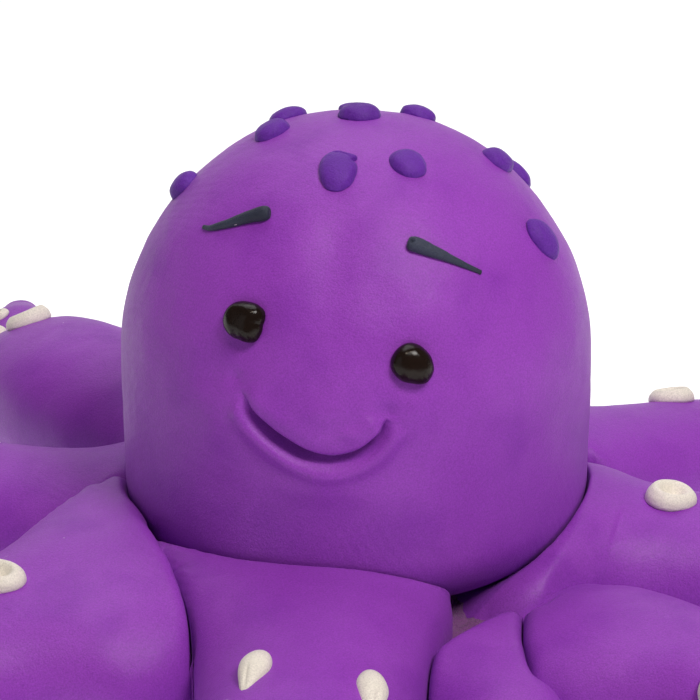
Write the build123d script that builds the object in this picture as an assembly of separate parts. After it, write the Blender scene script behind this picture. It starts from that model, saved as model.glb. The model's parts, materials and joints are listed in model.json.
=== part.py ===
from build123d import *
from dataclasses import dataclass
from math import asin, cos, degrees, hypot, radians, sin, sqrt
import os

# Modelling-clay octopus figure, in millimetres. +Z is up, and the table is z = 0.
# The origin is on the table, on the axis of the neck peg. The face looks along -Y.
# A heading is an angle about +Z that starts at the front (-Y) and grows towards +X.
#
# The figure is a head on a neck peg and eight arms round a hub. A wire spider runs out of
# the hub into every arm. Each arm is a root, which is pressed to its neighbours under the
# head, and a free outer part that bends up at the knuckle between them.

# ---- driving dimensions ----------------------------------------------------------------
HEAD_RADIUS = 28.0          # the dome and the upright side below it
HEAD_CENTRE_Z = 36.0        # centre of the dome
HEAD_BOTTOM_Z = 12.0        # the flat under the head
HEAD_CORNER = 8.0           # rounding between the side and the flat
CORE_RADIUS = 17.0          # the light ball inside the head
CORE_CENTRE_Z = 37.0
RUNNING_GAP = 0.3           # between soft faces on different bodies
PEG_FIT = 0.05              # radial clearance of the head on its peg

HUB_RADIUS = 11.0
HUB_HEIGHT = 11.6
PEG_RADIUS = 2.0
PEG_BOTTOM_Z = 7.2
PEG_TOP_Z = 34.0
KNOT_RADIUS = 3.4           # the twist at the middle of the wire spider
KNOT_BOTTOM_Z = 2.8
WIRE_RADIUS = 0.9
WIRE_START_Z = 5.0          # height of the spider's legs at the knot

KNUCKLE_RADIUS = 36.0       # distance of every arm's bend from the origin
ROOT_RING_RADIUS = 33.0     # outer edge of the pressed clay round the head
ROOT_EDGE = 5.0             # rounding of that edge
SEAM_GAP = 0.15             # each root stands this far back from the seam with its neighbour
BEND_LIMIT = 35.0           # how far an arm bends up, in degrees
BEND_MARGIN = 3.0
TABLE_FLAT = 0.4            # how much of an arm's round is flattened where it lies
CURL_START = 0.55           # the share of its length where an arm begins to lift
TIP_SHARE = 0.28            # an arm's size at its tip, as a share of its size at the knuckle
TAPER = 1.9                 # 1 would be a straight cone; more keeps the thickness further out
WIRE_SHARE = 0.72           # how far along an arm its wire goes

DOT_RADIUS = 2.5
DOT_RISE = 1.7
DOT_SINK = 0.5
EYE_RADIUS = 2.6
EYE_HALF_DEPTH = 1.9
EYE_SINK = 0.5
BROW_BIG_RADIUS = 1.05
BROW_SMALL_RADIUS = 0.45

SUCKER_RADIUS = 2.9
SUCKER_HEIGHT = 2.0
SUCKER_SINK = 0.8
SUCKER_TILT = 37.0          # how far each row lies from the arm's top line, in degrees
SUCKERS_PER_ROW = 5


@dataclass
class Arm:
    """One arm: where it points, the part of the ring it fills, and how it lies."""
    name: str
    heading: float          # degrees
    seams: tuple            # headings of its two seams
    half_width: float
    half_height: float
    length: float           # from the knuckle to the tip
    turn: float             # how far the arm turns sideways by its tip, in degrees
    tip_lift: float
    root_top: float         # height of the pressed clay beside the head
    first_sucker: float     # from the knuckle


ARMS = [
    Arm("front", -7, (-32, 13), 12.0, 9.8, 60, -34, 9, 20.0, 11.0),
    Arm("front_left", -54, (-80, -32), 13.0, 9.8, 64, -34, 7, 20.0, 14.5),
    Arm("left", -103, (-124, -80), 10.5, 9.4, 62, -30, 10, 20.0, 13.0),
    Arm("back_left", -142, (-188, -124), 10.6, 9.8, 72, -36, 4, 19.0, 35.0),
    Arm("back_right", 126, (107, 172), 10.5, 9.2, 64, -45, 9, 19.0, 11.0),
    Arm("right", 82, (61, 107), 11.0, 9.3, 64, -36, 8, 17.0, 4.5),
    Arm("front_right", 46, (31, 61), 9.0, 9.0, 62, -26, 7, 14.5, 24.0),
    Arm("tucked", 22, (13, 31), 5.2, 6.6, 54, -16, 6, 13.5, 18.0),
]

# Headings and heights over the dome's centre of what is stuck on the head, in degrees.
EYES = {"eye_left": (-30.0, 24.5), "eye_right": (12.9, 16.8)}
# For each brow, its thick end and then its thin end.
BROWS = {
    "brow_left": ((-35.0, 51.0), (-55.0, 42.5)),
    "brow_right": ((17.5, 45.0), (37.5, 35.0)),
}
DOTS = [
    (-97, 43), (-97, 69), (-140, 63), (169, 86), (-11, 66), (31.5, 66.5), (140, 66), (95, 53.5),
    (118, 40), (69, 35.5), (-170, 44), (-135, 34), (158, 36), (180, 70), (-160, 20), (130, 18),
]


# ---- frames ----------------------------------------------------------------------------
def outward(heading):
    """The level unit vector at a heading."""
    return Vector(sin(radians(heading)), -cos(radians(heading)), 0)


def on_dome(heading, rise, lift=0.0):
    """A plane that touches the dome there, with its z axis straight out of the clay."""
    out = outward(heading) * cos(radians(rise)) + Vector(0, 0, sin(radians(rise)))
    place = Vector(0, 0, HEAD_CENTRE_Z) + out * (HEAD_RADIUS + lift)
    across = Vector(0, 0, 1).cross(out)
    return Plane(origin=place, x_dir=across, z_dir=out)


def size_at(share):
    """An arm's size at a share of its length, as a share of its size at the knuckle."""
    return 1 - (1 - TIP_SHARE) * share**TAPER


def station(arm, share):
    """The arm's centre, its level direction, and its half width and half height."""
    steps = 60
    place = outward(arm.heading) * KNUCKLE_RADIUS
    for step in range(round(share * steps)):
        done = (step + 0.5) / steps
        place += outward(arm.heading + arm.turn * done**1.5) * (arm.length / steps)
    half_width = arm.half_width * size_at(share)
    half_height = arm.half_height * size_at(share)
    curl = max(0.0, (share - CURL_START) / (1 - CURL_START))
    height = half_height - TABLE_FLAT + arm.tip_lift * curl**2
    forward = outward(arm.heading + arm.turn * share**1.5)
    return Vector(place.X, place.Y, height), forward, half_width, half_height


def section(arm, share):
    """The arm's oval at a share of its length."""
    place, forward, half_width, half_height = station(arm, share)
    side = Vector(0, 0, 1).cross(forward)
    return Plane(origin=place, x_dir=side, z_dir=forward) * Ellipse(half_width, half_height)


def knuckle_frame(arm):
    """A plane at the arm's bend: x along the hinge axis, y up, z along the arm."""
    place, forward, _, _ = station(arm, 0)
    return Plane(origin=place, x_dir=Vector(0, 0, 1).cross(forward), z_dir=forward)


# ---- the head --------------------------------------------------------------------------
def head_outline(grow=0.0):
    """The head as a solid of revolution, with no hole, grown by a gap."""
    radius = HEAD_RADIUS + grow
    corner = HEAD_CORNER + grow
    bottom = HEAD_BOTTOM_Z - grow
    corner_z = HEAD_BOTTOM_Z + HEAD_CORNER
    flat = HEAD_RADIUS - HEAD_CORNER
    slant = corner * sqrt(0.5)
    dome = radius * sqrt(0.5)
    top = HEAD_CENTRE_Z + radius
    outline = [
        Line((0, bottom), (flat, bottom)),
        ThreePointArc((flat, bottom), (flat + slant, corner_z - slant), (radius, corner_z)),
        Line((radius, corner_z), (radius, HEAD_CENTRE_Z)),
        ThreePointArc((radius, HEAD_CENTRE_Z), (dome, HEAD_CENTRE_Z + dome), (0, top)),
        Line((0, top), (0, bottom)),
    ]
    return revolve(Plane.XZ * make_face(outline), Axis.Z)


def upright(radius, low, high):
    """A round pin or hole on the neck's axis."""
    return Pos(0, 0, (low + high) / 2) * Cylinder(radius, high - low)


def button(radius, half_depth):
    """A ball flattened along z."""
    return scale(Sphere(radius), by=(1, 1, half_depth / radius))


def make_eyes():
    ball = button(EYE_RADIUS, EYE_HALF_DEPTH)
    return {name: on_dome(*place, lift=EYE_SINK) * ball for name, place in EYES.items()}


def make_dots(head):
    """Flattened balls, each hollowed underneath to fit the dome."""
    ball = button(DOT_RADIUS, DOT_RISE)
    return {
        f"dot_{number:02d}": on_dome(*place, lift=-DOT_SINK) * ball - head
        for number, place in enumerate(DOTS, 1)
    }


def make_brow(head, thick_end, thin_end):
    """A rolled teardrop that lies on the dome from its thick end to its thin end."""
    start = on_dome(*thick_end, lift=BROW_BIG_RADIUS / 2).origin
    end = on_dome(*thin_end, lift=BROW_SMALL_RADIUS / 2).origin
    along = (end - start).normalized()
    grounded = (Align.CENTER, Align.CENTER, Align.MIN)
    cone = Cone(BROW_BIG_RADIUS, BROW_SMALL_RADIUS, (end - start).length, align=grounded)
    cone = Plane(origin=start, z_dir=along) * cone
    brow = cone + Pos(start) * Sphere(BROW_BIG_RADIUS) + Pos(end) * Sphere(BROW_SMALL_RADIUS)
    return brow - head


def make_head():
    """The clay head with its core, and everything stuck on it."""
    whole = head_outline()
    eyes = make_eyes()
    core_ball = Pos(0, 0, CORE_CENTRE_Z) * Sphere(CORE_RADIUS)
    bore = upright(PEG_RADIUS + PEG_FIT, HEAD_BOTTOM_Z - 1, PEG_TOP_Z + 1)
    pieces = {"head_clay": whole - core_ball - bore, "head_core": core_ball - bore}
    for name, eye in eyes.items():
        pieces["head_clay"] -= eye
        pieces[name] = eye
    for name, (thick_end, thin_end) in BROWS.items():
        pieces[name] = make_brow(whole, thick_end, thin_end)
    pieces.update(make_dots(whole))
    return pieces


# ---- the hub, the peg and the wire spider ----------------------------------------------
def spider_leg(arm):
    """One straight leg, from the knot to just inside the arm's root."""
    place, forward, _, half_height = station(arm, 0)
    start = Vector(0, 0, WIRE_START_Z)
    reach = KNUCKLE_RADIUS - half_height - RUNNING_GAP - 1.0
    along = (place - start).normalized()
    return Plane(origin=start, z_dir=along) * Cylinder(
        WIRE_RADIUS, reach, align=(Align.CENTER, Align.CENTER, Align.MIN)
    )


def make_spider():
    knot = upright(KNOT_RADIUS, KNOT_BOTTOM_Z, PEG_BOTTOM_Z)
    for arm in ARMS:
        knot += spider_leg(arm)
    return knot


def make_peg():
    peg = upright(PEG_RADIUS, PEG_BOTTOM_Z, PEG_TOP_Z)
    return chamfer(peg.edges().group_by(Axis.Z)[-1], 0.6)


# ---- the arms --------------------------------------------------------------------------
def half_oval(half_width, half_height):
    """The upper half of an oval that lies along x."""
    upper = Pos(0, half_height / 2) * Rectangle(2 * half_width, half_height)
    return Ellipse(half_width, half_height) & upper


def knuckle_ball(arm, gap=0.0):
    """The round end of the outer arm, with a gap round it: an oval turned about the hinge axis."""
    half_width = arm.half_width + gap
    half_height = arm.half_height + gap
    half = half_oval(half_width, half_height)
    return knuckle_frame(arm) * revolve(half, Axis.X)


def round_end(plane, half_width, half_height):
    """Half a flattened ball that closes an oval end; it bulges along the plane's z axis."""
    half = half_oval(half_width, half_height)
    return plane * revolve(half, Axis.X, 180)


def make_tip(arm):
    """The free part of an arm: a tapered rope with round ends, flat where it lies."""
    shares = [0, 0.12, 0.28, 0.46, 0.64, 0.82, 1]
    rope = loft([section(arm, share) for share in shares])
    place, forward, _, _ = station(arm, 0)
    back = Plane(origin=place, x_dir=forward.cross(Vector(0, 0, 1)), z_dir=-forward)
    rope += round_end(back, arm.half_width, arm.half_height)
    place, forward, end_width, end_height = station(arm, 1)
    front = Plane(origin=place, x_dir=Vector(0, 0, 1).cross(forward), z_dir=forward)
    rope += round_end(front, end_width, end_height)
    return rope - Pos(0, 0, -50) * Box(400, 400, 100)


def seam_wedge(arm):
    """The upright wedge between an arm's two seams, with the seam gap taken off."""
    low, high = arm.seams
    middle = (low + high) / 2
    inset = SEAM_GAP / sin(radians((high - low) / 2))
    apex = outward(middle) * inset
    reach = 80
    corners = [
        apex,
        apex + outward(low) * reach,
        apex + outward(middle) * reach * 1.4,
        apex + outward(high) * reach,
    ]
    return extrude(make_face(Polyline(*corners, close=True)), 40)


def root_ring(arm):
    """The pressed clay under and beside the head: a turned ring between two seams."""
    inner = HUB_RADIUS
    outer = ROOT_RING_RADIUS
    top = arm.root_top
    bend = ROOT_EDGE * (1 - sqrt(0.5))
    outline = [
        Line((inner, 0), (outer, 0)),
        Line((outer, 0), (outer, top - ROOT_EDGE)),
        ThreePointArc((outer, top - ROOT_EDGE), (outer - bend, top - bend), (outer - ROOT_EDGE, top)),
        Line((outer - ROOT_EDGE, top), (inner, top)),
        Line((inner, top), (inner, 0)),
    ]
    return revolve(Plane.XZ * make_face(outline), Axis.Z)


def make_root(arm, head_space, spider):
    """The pressed end of an arm, with a socket that the knuckle turns in."""
    place, forward, half_width, half_height = station(arm, 0)
    start = outward(arm.heading) * (HEAD_RADIUS - HEAD_CORNER) + Vector(0, 0, place.Z)
    stub = Plane(origin=start, x_dir=Vector(0, 0, 1).cross(forward), z_dir=forward) * extrude(
        Ellipse(half_width, half_height), KNUCKLE_RADIUS - HEAD_RADIUS + HEAD_CORNER
    )
    root = (root_ring(arm) + stub) & seam_wedge(arm)
    block = Box(60, 60, 60, align=(Align.CENTER, Align.CENTER, Align.MIN))
    frame = knuckle_frame(arm)
    root -= frame * block
    root -= frame * Rot(-(BEND_LIMIT + BEND_MARGIN), 0, 0) * block
    root -= knuckle_ball(arm, RUNNING_GAP)
    root -= head_space
    root -= upright(HUB_RADIUS, -1, HUB_HEIGHT + 10)
    root -= spider
    pieces = sorted(root.solids(), key=lambda solid: solid.volume)
    return pieces[-1]


def make_arm_wire(arm):
    """The wire inside the free part, from the bend to three quarters of its length."""
    shares = [0.02, 0.2, 0.38, 0.55, WIRE_SHARE]
    path = Spline(*[station(arm, share)[0] for share in shares])
    return sweep(Plane(origin=path @ 0, z_dir=path % 0) * Circle(WIRE_RADIUS), path=path)


def make_suckers(arm, rope):
    """Two rows of cupped discs on the upper flanks, smaller towards the tip, bedded on the clay."""
    cup = Cylinder(SUCKER_RADIUS, SUCKER_HEIGHT)
    cup = fillet(cup.edges(), 0.75)
    cup -= Pos(0, 0, SUCKER_HEIGHT / 2 + 2.4) * Sphere(3.0)
    group = []
    for row in (-1, 1):
        reach = arm.first_sucker + (1.6 if row > 0 else 0)
        for _ in range(SUCKERS_PER_ROW):
            share = reach / arm.length
            if share > 0.9:
                break
            size = size_at(share)
            place, forward, half_width, half_height = station(arm, share)
            side = Vector(0, 0, 1).cross(forward)
            tilt = radians(SUCKER_TILT) * row
            skin = place + side * (half_width * sin(tilt)) + Vector(0, 0, half_height * cos(tilt))
            out = side * (sin(tilt) / half_width) + Vector(0, 0, cos(tilt) / half_height)
            out = out.normalized()
            seat = skin + out * (SUCKER_HEIGHT * size / 2 - SUCKER_SINK * size)
            group.append(Plane(origin=seat, x_dir=forward, z_dir=out) * scale(cup, by=size))
            reach += 12.5 * size
    bedded = [max((piece - rope).solids(), key=lambda solid: solid.volume) for piece in group]
    return Compound(children=bedded)


# ---- writing ---------------------------------------------------------------------------
def make_parts():
    spider = make_spider()
    peg = make_peg()
    head_space = head_outline(RUNNING_GAP)
    hub = upright(HUB_RADIUS, 0, HUB_HEIGHT) - spider - peg
    parts = {"hub": hub, "neck_peg": peg, "armature_spider": spider}
    parts.update(make_head())
    for arm in ARMS:
        wire = make_arm_wire(arm)
        rope = make_tip(arm)
        parts[f"arm_{arm.name}_root"] = make_root(arm, head_space, spider)
        parts[f"arm_{arm.name}"] = rope - wire
        parts[f"wire_{arm.name}"] = wire
        parts[f"suckers_{arm.name}"] = make_suckers(arm, rope)
    return parts


os.makedirs("parts", exist_ok=True)
for node, shape in make_parts().items():
    export_step(shape, f"parts/{node}.step")
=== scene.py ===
"""Clay octopus: skins, trims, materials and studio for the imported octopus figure.

Shapes are worked out in millimetres, in the frame's own axes: +Z up, the face towards -Y.
A heading is an angle about +Z in degrees, 0 at the front (-Y) and growing towards +X.
"""
import json
import math

import bmesh
import bpy
from bpy.props import FloatProperty, FloatVectorProperty, IntProperty, PointerProperty
from mathutils import Matrix, Vector, noise


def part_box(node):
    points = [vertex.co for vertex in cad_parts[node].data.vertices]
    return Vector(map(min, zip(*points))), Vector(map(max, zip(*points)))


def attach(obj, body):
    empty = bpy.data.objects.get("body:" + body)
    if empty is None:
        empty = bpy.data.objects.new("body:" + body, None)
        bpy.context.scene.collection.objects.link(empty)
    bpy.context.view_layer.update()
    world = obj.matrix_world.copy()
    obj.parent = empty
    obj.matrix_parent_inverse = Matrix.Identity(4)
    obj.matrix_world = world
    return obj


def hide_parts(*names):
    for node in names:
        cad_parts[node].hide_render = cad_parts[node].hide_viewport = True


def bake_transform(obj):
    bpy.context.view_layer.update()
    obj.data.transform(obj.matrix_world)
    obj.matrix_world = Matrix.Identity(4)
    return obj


bl_info = {
    "name": "Clay Octopus",
    "version": (1, 0, 0),
    "blender": (4, 5, 0),
    "location": "3D View > Sidebar > Octopus",
    "description": "Builds the skins, trims, materials and studio of a modelling-clay octopus",
    "category": "Object",
}

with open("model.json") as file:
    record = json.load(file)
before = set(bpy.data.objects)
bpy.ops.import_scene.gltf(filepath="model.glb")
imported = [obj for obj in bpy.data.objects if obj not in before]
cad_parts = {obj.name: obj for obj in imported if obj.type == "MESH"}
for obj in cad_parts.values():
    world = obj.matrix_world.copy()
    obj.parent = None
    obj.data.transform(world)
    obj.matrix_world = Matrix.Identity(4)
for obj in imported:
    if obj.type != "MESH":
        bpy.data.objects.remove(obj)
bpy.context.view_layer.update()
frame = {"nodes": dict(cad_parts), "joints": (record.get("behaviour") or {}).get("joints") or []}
MM = 0.001


# ---- the frame's own sizes, in millimetres ---------------------------------------------
def node_box(node):
    """A CAD node's lowest and highest corner, in millimetres."""
    low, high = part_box(node)
    return Vector(low) / MM, Vector(high) / MM


HEAD_LOW, HEAD_HIGH = node_box("head_clay")
HEAD_RADIUS = (HEAD_HIGH.x - HEAD_LOW.x) / 2
HEAD_TOP = HEAD_HIGH.z
HEAD_BOTTOM = HEAD_LOW.z
HEAD_CENTRE = HEAD_TOP - HEAD_RADIUS
HEAD_CORNER = 8.0
HEAD_GAP = 0.3
JOINTS = {joint["name"]: joint for joint in frame["joints"]}


# ---- small sums ------------------------------------------------------------------------
def clamp(value, low=0.0, high=1.0):
    return max(low, min(high, value))


def ease(value):
    """0 to 1 with soft ends."""
    value = clamp(value)
    return value * value * (3 - 2 * value)


def mix(start, end, share):
    return start + (end - start) * share


def hump(distance, width):
    """1 at the middle, 0 one width away, soft at both."""
    return ease(1 - abs(distance) / width)


def read_table(rows, at):
    """The value at a place in a table of (place, value) rows, eased through its points."""
    if at <= rows[0][0]:
        return rows[0][1]
    for index in range(len(rows) - 1):
        start, end = rows[index][0], rows[index + 1][0]
        if at <= end:
            before = rows[max(index - 1, 0)]
            after = rows[min(index + 2, len(rows) - 1)]
            here, there = rows[index][1], rows[index + 1][1]
            span = end - start
            slope_here = (there - before[1]) / max(end - before[0], 1e-6) * span
            slope_there = (after[1] - here) / max(after[0] - start, 1e-6) * span
            share = (at - start) / span
            square, cube = share**2, share**3
            return (
                here * (2 * cube - 3 * square + 1)
                + slope_here * (cube - 2 * square + share)
                + there * (3 * square - 2 * cube)
                + slope_there * (cube - square)
            )
    return rows[-1][1]


def outward(heading):
    turn = math.radians(heading)
    return Vector((math.sin(turn), -math.cos(turn), 0))


def sideways(heading):
    """Level, and a quarter turn on from outward."""
    turn = math.radians(heading)
    return Vector((math.cos(turn), math.sin(turn), 0))


def heading_of(point):
    return math.degrees(math.atan2(point.x, -point.y))


def turn_between(heading, start):
    """How far a heading lies past another, from -180 to 180."""
    return (heading - start + 180) % 360 - 180


def lumps(point, size, seed):
    """Smooth unevenness, about -1 to 1, with lumps of that size in millimetres."""
    return noise.noise(Vector(point) / size + Vector((seed * 7.3, seed * 3.1, seed * 5.7)))


# ---- objects ---------------------------------------------------------------------------
def mesh_object(name, bm, material):
    """Turns a bmesh in metres into a smooth object at the origin."""
    mesh = bpy.data.meshes.new(name)
    bm.to_mesh(mesh)
    bm.free()
    for face in mesh.polygons:
        face.use_smooth = True
    mesh.materials.append(material)
    piece = bpy.data.objects.new(name, mesh)
    bpy.context.scene.collection.objects.link(piece)
    return piece


def place_mesh(name, bm, material):
    """Turns a bmesh in millimetres into a smooth object in metres at the origin."""
    bmesh.ops.scale(bm, vec=(MM, MM, MM), verts=bm.verts)
    return mesh_object(name, bm, material)


def show_as(piece, body, slot, *nodes):
    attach(piece, body)
    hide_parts(*nodes)


def paint_nodes(names, material):
    """Gives CAD nodes that stay in view a better material."""
    for name in names:
        node = frame["nodes"][name]
        if not node.material_slots:
            node.data.materials.append(material)
        for slot in node.material_slots:
            slot.material = material


def settings():
    return bpy.context.scene.clay_octopus


# ---- shader nodes ----------------------------------------------------------------------
def set_values(node, **values):
    """Sets a node's properties, or its inputs by name, with _ for a space."""
    for key, value in values.items():
        if hasattr(node, key):
            setattr(node, key, value)
        else:
            node.inputs[key.replace("_", " ")].default_value = value
    return node


def add_node(tree, kind, where, **values):
    node = tree.nodes.new(kind)
    node.location = where
    return set_values(node, **values)


def feed(tree, socket, value):
    """Links an output to a socket, or sets the socket's own value."""
    if isinstance(value, bpy.types.NodeSocket):
        tree.links.new(value, socket)
    else:
        socket.default_value = value


def add_ramp(tree, where, source, *stops):
    """A colour ramp with (place, grey or colour) stops, fed by an output."""
    node = add_node(tree, "ShaderNodeValToRGB", where)
    elements = node.color_ramp.elements
    while len(elements) < len(stops):
        elements.new(0.5)
    for element, (place, value) in zip(elements, stops):
        element.position = place
        colour = value if isinstance(value, (tuple, list)) else (value, value, value)
        element.color = (*colour[:3], 1)
    tree.links.new(source, node.inputs[0])
    return node.outputs[0]


def new_group(name, inputs, outputs):
    """A shader node group with its sockets; inputs are (name, kind, default)."""
    group = bpy.data.node_groups.new(name, "ShaderNodeTree")
    for label, kind, default in inputs:
        socket = group.interface.new_socket(label, in_out="INPUT", socket_type=kind)
        if default is not None:
            socket.default_value = default
    for label, kind in outputs:
        group.interface.new_socket(label, in_out="OUTPUT", socket_type=kind)
    entry = group.nodes.new("NodeGroupInput")
    entry.location = (-1100, 0)
    leave = group.nodes.new("NodeGroupOutput")
    leave.location = (900, 0)
    return group, entry, leave


def colour_mix(tree, where, factor, first, second, blend="MIX"):
    node = add_node(tree, "ShaderNodeMix", where, data_type="RGBA", blend_type=blend)
    for index, value in ((0, factor), (6, first), (7, second)):
        feed(tree, node.inputs[index], value)
    return node.outputs[2]


def maths(tree, where, operation, *values):
    node = add_node(tree, "ShaderNodeMath", where, operation=operation)
    for socket, value in zip(node.inputs, values):
        feed(tree, socket, value)
    return node.outputs[0]


def noise_at(tree, where, vector, scale, detail=2.0, roughness=0.5, distortion=0.0):
    node = add_node(
        tree, "ShaderNodeTexNoise", where,
        Scale=scale, Detail=detail, Roughness=roughness, Distortion=distortion,
    )
    tree.links.new(vector, node.inputs["Vector"])
    return node


def own_place(tree, where):
    """Where a point lies in the piece's own coordinates."""
    return add_node(tree, "ShaderNodeTexCoord", where).outputs["Object"]


def add_relief(tree, shader, where, height, depth):
    """Raises the surface by a height in the shading, full height being depth in metres."""
    relief = add_node(tree, "ShaderNodeBump", where, Distance=depth)
    tree.links.new(height, relief.inputs["Height"])
    tree.links.new(relief.outputs["Normal"], shader.inputs["Normal"])


def new_finish(name):
    """A new material, its node tree and its shader."""
    material = bpy.data.materials.new(name)
    material.use_nodes = True
    return material, material.node_tree, material.node_tree.nodes["Principled BSDF"]


LINT_COLOUR = (0.78, 0.62, 0.74, 1)


def make_clay_group():
    """Hand-worked clay: uneven colour, a fine grain, finger ridges, dents and lint."""
    group, entry, leave = new_group(
        "Worked clay",
        [
            ("Vector", "NodeSocketVector", None),
            ("Clay Colour", "NodeSocketColor", (0.3, 0.08, 0.4, 1)),
            ("Pale Colour", "NodeSocketColor", (0.4, 0.2, 0.5, 1)),
            ("Deep Colour", "NodeSocketColor", (0.2, 0.03, 0.35, 1)),
            ("Roughness", "NodeSocketFloat", 0.5),
            ("Ridges", "NodeSocketFloat", 1.0),
            ("Grain", "NodeSocketFloat", 1.0),
            ("Lint", "NodeSocketFloat", 1.0),
        ],
        [
            ("Colour", "NodeSocketColor"),
            ("Roughness", "NodeSocketFloat"),
            ("Height", "NodeSocketFloat"),
        ],
    )
    link = group.links.new
    place = entry.outputs["Vector"]
    mottle = noise_at(group, (-850, 300), place, 55, 3, 0.55)
    mottle = add_ramp(group, (-650, 300), mottle.outputs["Fac"], (0.36, 0.0), (0.68, 1.0))
    stain = noise_at(group, (-850, 80), place, 130, 2, 0.5)
    stain = add_ramp(group, (-650, 80), stain.outputs["Fac"], (0.5, 0.0), (0.75, 0.6))
    grain = noise_at(group, (-850, -150), place, 5200, 2, 0.65).outputs["Fac"]
    coarse = noise_at(group, (-850, -320), place, 1500, 2, 0.6).outputs["Fac"]

    share = maths(group, (-500, 380), "MULTIPLY", mottle, 0.55)
    colour = colour_mix(
        group, (-350, 300), share, entry.outputs["Clay Colour"], entry.outputs["Pale Colour"])
    colour = colour_mix(group, (-180, 200), stain, colour, entry.outputs["Deep Colour"])
    speck = add_ramp(group, (-650, -120), grain, (0.25, 0.76), (0.75, 1.22))
    colour = colour_mix(group, (0, 200), 0.8, colour, speck, "MULTIPLY")

    # Lint: a few of the cells of a bent cell pattern each hold one small fleck.
    bend = noise_at(group, (-1020, -620), place, 420, 1, 0.5).outputs["Color"]
    bent = colour_mix(group, (-1000, -420), 0.0016, place, bend, "LINEAR_LIGHT")
    cells = add_node(group, "ShaderNodeTexVoronoi", (-850, -520), feature="F1", Scale=300)
    link(bent, cells.inputs["Vector"])
    near = maths(group, (-650, -480), "LESS_THAN", cells.outputs["Distance"], 0.036)
    tint = add_node(group, "ShaderNodeSeparateColor", (-650, -620))
    link(cells.outputs["Color"], tint.inputs[0])
    chosen = maths(group, (-450, -600), "GREATER_THAN", tint.outputs[0], 0.9)
    lint = maths(group, (-300, -520), "MULTIPLY", near, chosen)
    lint = maths(group, (-150, -520), "MULTIPLY", lint, entry.outputs["Lint"])
    share = maths(group, (60, 60), "MULTIPLY", lint, 0.55)
    link(colour_mix(group, (180, 200), share, colour, LINT_COLOUR), leave.inputs["Colour"])

    # Finger ridges, in patches.
    wave = add_node(
        group, "ShaderNodeTexWave", (-850, -780), wave_type="BANDS", bands_direction="DIAGONAL",
        Scale=340, Distortion=26, Detail=1.0, Detail_Scale=0.12,
    )
    link(place, wave.inputs["Vector"])
    patch = noise_at(group, (-850, -1040), place, 75, 1, 0.5)
    patch = add_ramp(group, (-650, -1040), patch.outputs["Fac"], (0.5, 0.0), (0.66, 1.0))
    ridges = maths(group, (-450, -800), "MULTIPLY", wave.outputs["Fac"], patch)
    ridges = maths(group, (-300, -800), "MULTIPLY", ridges, entry.outputs["Ridges"])
    fine = maths(group, (-450, -240), "MULTIPLY", grain, 0.5)
    fine = maths(group, (-300, -300), "MULTIPLY_ADD", coarse, 0.42, fine)
    fine = maths(group, (-150, -300), "MULTIPLY", fine, entry.outputs["Grain"])
    height = maths(group, (100, -600), "MULTIPLY_ADD", ridges, 0.16, fine)
    height = maths(group, (260, -600), "MULTIPLY_ADD", lint, 0.6, height)
    link(height, leave.inputs["Height"])

    shine = maths(group, (100, -100), "MULTIPLY_ADD", coarse, 0.16, -0.08)
    shine = maths(group, (260, -100), "ADD", shine, entry.outputs["Roughness"])
    shine = maths(group, (420, -100), "MULTIPLY_ADD", mottle, -0.07, shine)
    link(shine, leave.inputs["Roughness"])
    return group


def clay_material(
    name, colour, pale, deep,
    roughness=0.5, ridges=1.0, grain=1.0, lint=1.0, bump=0.00009, sheen=0.2,
):
    """A finished clay, made once: the shared group drives colour, roughness and bump."""
    made = bpy.data.materials.get(name)
    if made:
        return made
    material, tree, shader = new_finish(name)
    group = add_node(tree, "ShaderNodeGroup", (-500, 100))
    group.node_tree = bpy.data.node_groups.get("Worked clay") or make_clay_group()
    tree.links.new(own_place(tree, (-750, 100)), group.inputs["Vector"])
    set_values(
        group, Clay_Colour=(*colour, 1), Pale_Colour=(*pale, 1), Deep_Colour=(*deep, 1),
        Roughness=roughness, Ridges=ridges, Grain=grain, Lint=lint,
    )
    add_relief(tree, shader, (-250, -200), group.outputs["Height"], bump)
    tree.links.new(group.outputs["Colour"], shader.inputs["Base Color"])
    tree.links.new(group.outputs["Roughness"], shader.inputs["Roughness"])
    set_values(
        shader, Sheen_Weight=sheen, Sheen_Roughness=0.45, Specular_IOR_Level=0.26,
        Sheen_Tint=(*(mix(part, 1.0, 0.5) for part in pale), 1),
    )
    return material


def linear(colour):
    """Screen values from 0 to 255 as scene-linear values."""
    parts = (part / 255 for part in colour)
    return tuple(
        part / 12.92 if part <= 0.04045 else ((part + 0.055) / 1.055) ** 2.4 for part in parts
    )


# ---- the finishes ----------------------------------------------------------------------
def purple_clay():
    colour = tuple(settings().clay_colour)
    pale = (colour[0] * 1.22, colour[1] * 1.7, colour[2] * 1.16)
    deep = (colour[0] * 0.8, colour[1] * 0.62, colour[2] * 0.88)
    return clay_material("Purple clay", colour, pale, deep, sheen=0.05)


def dot_clay():
    colour = tuple(settings().dot_colour)
    pale = tuple(min(1, part * 1.3) for part in colour)
    deep = tuple(part * 0.75 for part in colour)
    return clay_material(
        "Violet dot clay", colour, pale, deep,
        roughness=0.62, ridges=0.3, grain=1.5, lint=0.6, sheen=0.15,
    )


def cream_clay():
    colour = tuple(settings().sucker_colour)
    pale = tuple(min(0.95, part * 1.06) for part in colour)
    deep = (colour[0] * 0.92, colour[1] * 0.89, colour[2] * 0.84)
    return clay_material(
        "Cream sucker clay", colour, pale, deep, ridges=0.2, grain=0.9, lint=0.3, sheen=0.1,
    )


def slate_clay():
    return clay_material(
        "Slate brow clay", linear((40, 44, 62)), linear((66, 72, 94)), linear((26, 28, 42)),
        roughness=0.55, ridges=0.0, grain=2.2, lint=1.4, sheen=0.1,
    )


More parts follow.
